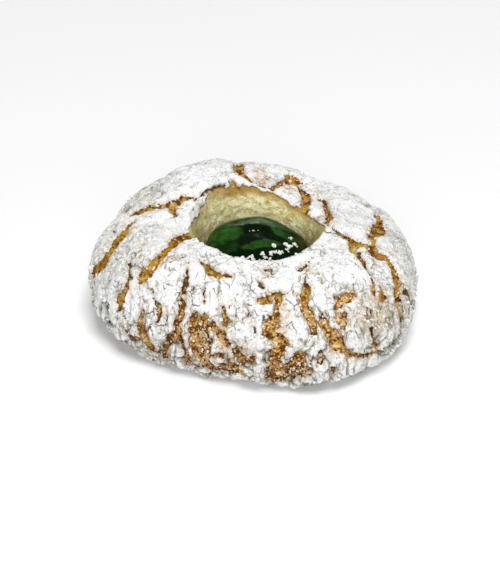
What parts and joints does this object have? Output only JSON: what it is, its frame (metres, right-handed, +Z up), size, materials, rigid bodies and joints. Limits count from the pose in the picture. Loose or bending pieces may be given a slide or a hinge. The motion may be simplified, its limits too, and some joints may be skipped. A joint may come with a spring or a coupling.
{
  "type": "almond cookie",
  "caption": "Soft almond-paste cookie with a cracked icing-sugar crust and a glossy green candied cherry pressed into its thumb hollow.",
  "frame": {"origin": "centre of the bounding box's underside, on the surface that the cookie rests on", "axes": "+Z up out of the hollow, +X to the right and -Y to the front of the cookie, along its length and its depth"},
  "size_m": [0.0574, 0.054, 0.021],
  "materials": {
    "almond_paste": "baked almond paste, white with icing sugar outside and golden where it is torn",
    "icing_sugar": "matte, powdery",
    "candied_fruit": "glossy with syrup"
  },
  "bodies": {
    "root": {"cookie": "almond_paste", "candied_cherry": "candied_fruit"}
  },
  "joints": []
}
